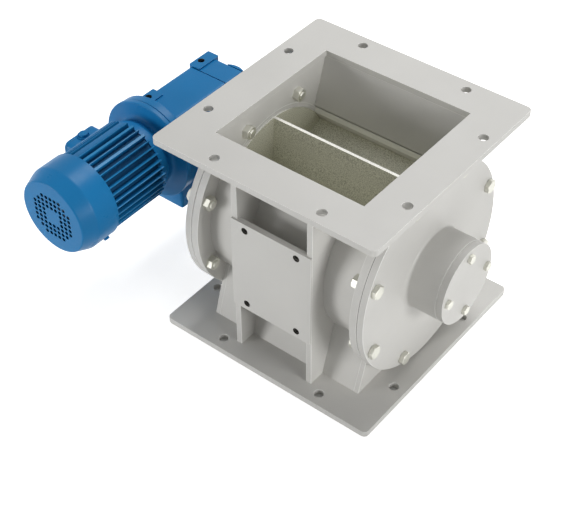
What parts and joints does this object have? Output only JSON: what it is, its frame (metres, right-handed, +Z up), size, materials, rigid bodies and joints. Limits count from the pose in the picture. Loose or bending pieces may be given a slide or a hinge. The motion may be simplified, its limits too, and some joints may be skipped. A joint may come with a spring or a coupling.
{
  "type": "rotary airlock valve",
  "caption": "Drop-through rotary airlock valve with square inlet and outlet flanges, a vaned rotor between bolted end covers and a worm-geared motor on one shaft end.",
  "frame": {"origin": "centre of the outlet flange's lower face, where the valve stands on its duct", "axes": "+X along the rotor axis towards the closed bearing cap, -Y towards the front panel, +Z up"},
  "size_m": [0.6045, 0.4725, 0.356],
  "materials": {
    "casing_paint": "satin",
    "drive_paint": "gloss",
    "cowl_paint": "gloss",
    "zinc_steel": "zinc plated",
    "rotor_steel": "machined, fine grain",
    "bearing_steel": "ground",
    "bronze": "machined",
    "core_steel": "laminated",
    "winding_copper": "varnished",
    "gasket": "matt",
    "seal_rubber": "matt",
    "black_plastic": "matt"
  },
  "bodies": {
    "housing": {"inlet_flange": "casing_paint", "outlet_flange": "casing_paint", "barrel": "casing_paint", "idle_end_flange": "casing_paint", "drive_end_flange": "casing_paint", "inlet_side_plates": "casing_paint", "outlet_side_plates": "casing_paint", "inlet_slope_plates": "casing_paint", "outlet_slope_plates": "casing_paint", "front_ribs": "casing_paint", "back_ribs": "casing_paint", "front_panel": "casing_paint", "panel_backing": "casing_paint", "idle_end_cover": "casing_paint", "drive_end_cover": "casing_paint", "idle_bearing_cap": "casing_paint", "drive_bearing_cap": "casing_paint", "cover_bolts": "zinc_steel", "cover_nuts": "zinc_steel", "cap_bolts": "zinc_steel", "neck_bolts": "zinc_steel", "flange_screws": "zinc_steel", "cowl_screws": "zinc_steel", "gear_case": "drive_paint", "gear_neck": "drive_paint", "gear_side_cover": "drive_paint", "worm_bearing_cap": "drive_paint", "motor_flange": "drive_paint", "motor_frame": "drive_paint", "rear_end_shield": "drive_paint", "terminal_box": "drive_paint", "terminal_lid": "drive_paint", "fan_cowl": "cowl_paint", "oil_plugs": "zinc_steel", "cover_gaskets": "gasket", "shaft_seals": "seal_rubber", "bearing_outer_rings": "bearing_steel", "bearing_balls": "bearing_steel", "case_bearing_outers": "bearing_steel", "stator_core": "core_steel", "stator_windings": "winding_copper", "motor_bearing_outers": "bearing_steel", "cable_gland": "drive_paint"},
    "rotor": {"rotor_shaft": "rotor_steel", "rotor_end_discs": "rotor_steel", "rotor_vanes": "rotor_steel", "bearing_inner_rings": "bearing_steel", "drive_key": "bearing_steel", "hollow_output_shaft": "bearing_steel", "worm_wheel": "bronze", "shaft_retainer": "bearing_steel", "case_bearing_inners": "bearing_steel"},
    "motor_rotor": {"worm_shaft": "bearing_steel", "worm_bearing_inners": "bearing_steel", "motor_shaft": "bearing_steel", "motor_rotor_core": "core_steel", "motor_bearing_inners": "bearing_steel", "cooling_fan": "black_plastic"}
  },
  "joints": [
    {"name": "rotor_spin", "type": "hinge", "parent": "housing", "child": "rotor", "pos_m": [0, 0, 0.178], "axis": [1, 0, 0], "continuous": true},
    {"name": "motor_spin", "type": "hinge", "parent": "housing", "child": "motor_rotor", "pos_m": [-0.3, 0, 0.218], "axis": [0, 1, 0], "continuous": true}
  ],
  "couplings": [
    {"joint": "motor_spin", "follows": "rotor_spin", "ratio": 40}
  ]
}
